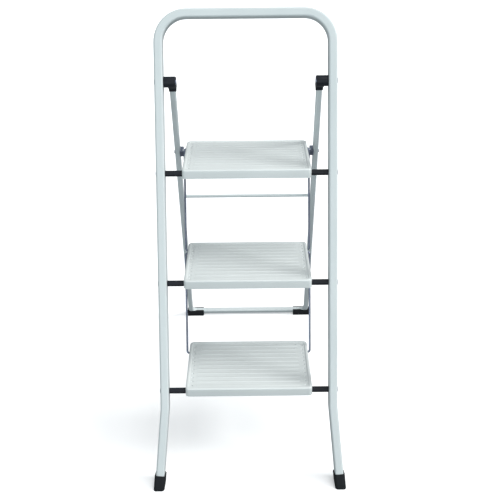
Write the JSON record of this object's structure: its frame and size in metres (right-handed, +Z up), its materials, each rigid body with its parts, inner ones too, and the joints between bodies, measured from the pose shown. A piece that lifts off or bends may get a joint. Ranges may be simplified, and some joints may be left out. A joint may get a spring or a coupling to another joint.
{
  "type": "step ladder",
  "caption": "Folding steel step ladder with a hand hoop, hinged ribbed steps joined by link rods, and a swinging rear support frame on rubber feet.",
  "frame": {"origin": "on the floor, midway between the front shoes and the rear feet and midway between the rails", "axes": "+Z up, +X to the right of the user who climbs the steps, +Y away from that user, towards the rear support frame"},
  "size_m": [0.4598, 0.8262, 1.0458],
  "materials": {
    "painted_steel": "satin powder coat, pale cool grey",
    "black_plastic": "moulded, fine matte texture",
    "black_rubber": "moulded, dull",
    "zinc_steel": "bright zinc plate"
  },
  "bodies": {
    "front_ladder": {"front_frame": "painted_steel", "front_shoe_left": "black_rubber", "front_shoe_right": "black_rubber", "bottom_step_axle": "zinc_steel", "middle_step_axle": "zinc_steel", "top_step_axle": "zinc_steel", "bottom_sleeve_left": "black_plastic", "bottom_sleeve_right": "black_plastic", "middle_sleeve_left": "black_plastic", "middle_sleeve_right": "black_plastic", "top_sleeve_left": "black_plastic", "top_sleeve_right": "black_plastic", "axle_end_caps": "zinc_steel", "hinge_pin_left": "zinc_steel", "hinge_pin_right": "zinc_steel"},
    "rear_support": {"rear_frame": "painted_steel", "rear_cross_brace": "painted_steel", "hinge_bracket_left": "black_plastic", "hinge_bracket_right": "black_plastic", "rear_foot_left": "black_rubber", "rear_foot_right": "black_rubber", "step_catch_left": "zinc_steel", "step_catch_right": "zinc_steel", "leg_rivets": "zinc_steel"},
    "top_platform": {"top_step": "painted_steel", "top_step_support_rod": "painted_steel"},
    "middle_tread": {"middle_step": "painted_steel"},
    "bottom_tread": {"bottom_step": "painted_steel"},
    "upper_rod_left": {"upper_link_left": "zinc_steel", "upper_link_clips_left": "zinc_steel"},
    "lower_rod_left": {"lower_link_left": "zinc_steel", "lower_link_clips_left": "zinc_steel"},
    "upper_rod_right": {"upper_link_right": "zinc_steel", "upper_link_clips_right": "zinc_steel"},
    "lower_rod_right": {"lower_link_right": "zinc_steel", "lower_link_clips_right": "zinc_steel"}
  },
  "joints": [
    {"name": "rear_fold", "type": "hinge", "parent": "front_ladder", "child": "rear_support", "pos_m": [0, -0.04128, 0.88925], "axis": [-1, 0, 0], "range_deg": [0, 46]},
    {"name": "bottom_step_fold", "type": "hinge", "parent": "front_ladder", "child": "bottom_tread", "pos_m": [0, -0.30643, 0.21614], "axis": [1, 0, 0], "range_deg": [0, 66.05]},
    {"name": "middle_step_fold", "type": "hinge", "parent": "front_ladder", "child": "middle_tread", "pos_m": [0, -0.21224, 0.45525], "axis": [1, 0, 0], "range_deg": [0, 66.05]},
    {"name": "top_step_fold", "type": "hinge", "parent": "front_ladder", "child": "top_platform", "pos_m": [0, -0.11805, 0.69437], "axis": [1, 0, 0], "range_deg": [0, 66.05]},
    {"name": "upper_link_left_pivot", "type": "hinge", "parent": "top_platform", "child": "upper_rod_left", "pos_m": [-0.15, 0.05895, 0.69037], "axis": [1, 0, 0], "range_deg": [-66.05, 0]},
    {"name": "lower_link_left_pivot", "type": "hinge", "parent": "middle_tread", "child": "lower_rod_left", "pos_m": [-0.15, -0.04824, 0.45125], "axis": [1, 0, 0], "range_deg": [-66.05, 0]},
    {"name": "upper_link_right_pivot", "type": "hinge", "parent": "top_platform", "child": "upper_rod_right", "pos_m": [0.15, 0.05895, 0.69037], "axis": [1, 0, 0], "range_deg": [-66.05, 0]},
    {"name": "lower_link_right_pivot", "type": "hinge", "parent": "middle_tread", "child": "lower_rod_right", "pos_m": [0.15, -0.04824, 0.45125], "axis": [1, 0, 0], "range_deg": [-66.05, 0]}
  ],
  "couplings": [
    {"joint": "bottom_step_fold", "follows": "rear_fold", "ratio": 1.4348},
    {"joint": "middle_step_fold", "follows": "rear_fold", "ratio": 1.4348},
    {"joint": "top_step_fold", "follows": "rear_fold", "ratio": 1.4348},
    {"joint": "upper_link_left_pivot", "follows": "rear_fold", "ratio": -1.4348},
    {"joint": "lower_link_left_pivot", "follows": "rear_fold", "ratio": -1.4348},
    {"joint": "upper_link_right_pivot", "follows": "rear_fold", "ratio": -1.4348},
    {"joint": "lower_link_right_pivot", "follows": "rear_fold", "ratio": -1.4348}
  ]
}
